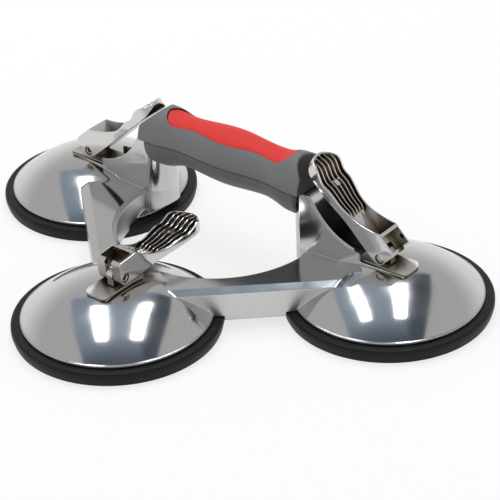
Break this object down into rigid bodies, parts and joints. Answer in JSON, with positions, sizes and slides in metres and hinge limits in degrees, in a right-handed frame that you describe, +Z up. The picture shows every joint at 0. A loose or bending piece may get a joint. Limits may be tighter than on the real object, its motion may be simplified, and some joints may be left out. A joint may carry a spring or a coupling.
{
  "type": "suction cup lifter",
  "caption": "Hand lifter for glass and smooth panels: a cast metal frame with domed rubber suction cups, press-down cam levers and a soft-gripped bar handle.",
  "frame": {"origin": "on the surface that the rubber rests on, at the middle of the part's outline", "axes": "+X along the handle from cup A to cup C, +Y from cup B towards the handle, +Z up"},
  "size_m": [0.34, 0.226, 0.0825],
  "materials": {
    "polished_aluminium": "polished",
    "bright_die_casting": "polished",
    "zinc_steel": "satin",
    "grey_grip_plastic": "fine grained",
    "dark_grip_plastic": "fine grained",
    "red_soft_rubber": "matt",
    "black_rubber": "matt"
  },
  "bodies": {
    "frame": {"frame_casting": "polished_aluminium", "grip_upper_shell": "grey_grip_plastic", "grip_lower_shell": "dark_grip_plastic", "grip_insert": "red_soft_rubber", "grip_screw_a": "zinc_steel", "grip_screw_c": "zinc_steel", "cam_plate_a": "bright_die_casting", "suction_pad_a": "black_rubber", "cam_plate_b": "bright_die_casting", "suction_pad_b": "black_rubber", "cam_plate_c": "bright_die_casting", "suction_pad_c": "black_rubber"},
    "puller_a": {"eye_bolt_a": "zinc_steel", "backing_disc_a": "zinc_steel", "pivot_pin_a": "zinc_steel"},
    "lever_a": {"lever_a": "bright_die_casting"},
    "puller_b": {"eye_bolt_b": "zinc_steel", "backing_disc_b": "zinc_steel", "pivot_pin_b": "zinc_steel"},
    "lever_b": {"lever_b": "bright_die_casting"},
    "puller_c": {"eye_bolt_c": "zinc_steel", "backing_disc_c": "zinc_steel", "pivot_pin_c": "zinc_steel"},
    "lever_c": {"lever_c": "bright_die_casting"}
  },
  "joints": [
    {"name": "pad_a_pull", "type": "slide", "parent": "frame", "child": "puller_a", "axis": [0, 0, -1], "range_m": [0, 0.000869], "deforming": ["suction_pad_a"]},
    {"name": "lever_a_pivot", "type": "hinge", "parent": "puller_a", "child": "lever_a", "pos_m": [-0.11, 0.053, 0.03437], "axis": [0, -1, 0], "range_deg": [0, 48.75]},
    {"name": "pad_b_pull", "type": "slide", "parent": "frame", "child": "puller_b", "axis": [0, 0, -1], "range_m": [0, 0.00151], "deforming": ["suction_pad_b"]},
    {"name": "lever_b_pivot", "type": "hinge", "parent": "puller_b", "child": "lever_b", "pos_m": [0, -0.053, 0.03501], "axis": [1, 0, 0], "range_deg": [0, 85]},
    {"name": "pad_c_pull", "type": "slide", "parent": "frame", "child": "puller_c", "axis": [0, 0, -1], "range_m": [0, 0.000802], "deforming": ["suction_pad_c"]},
    {"name": "lever_c_pivot", "type": "hinge", "parent": "puller_c", "child": "lever_c", "pos_m": [0.11, 0.053, 0.0343], "axis": [0, 1, 0], "range_deg": [0, 45]}
  ],
  "couplings": [
    {"joint": "pad_a_pull", "follows": "lever_a_pivot", "m_per_rad": 0.0010186},
    {"joint": "pad_b_pull", "follows": "lever_b_pivot", "m_per_rad": 0.0010186},
    {"joint": "pad_c_pull", "follows": "lever_c_pivot", "m_per_rad": 0.0010186}
  ]
}
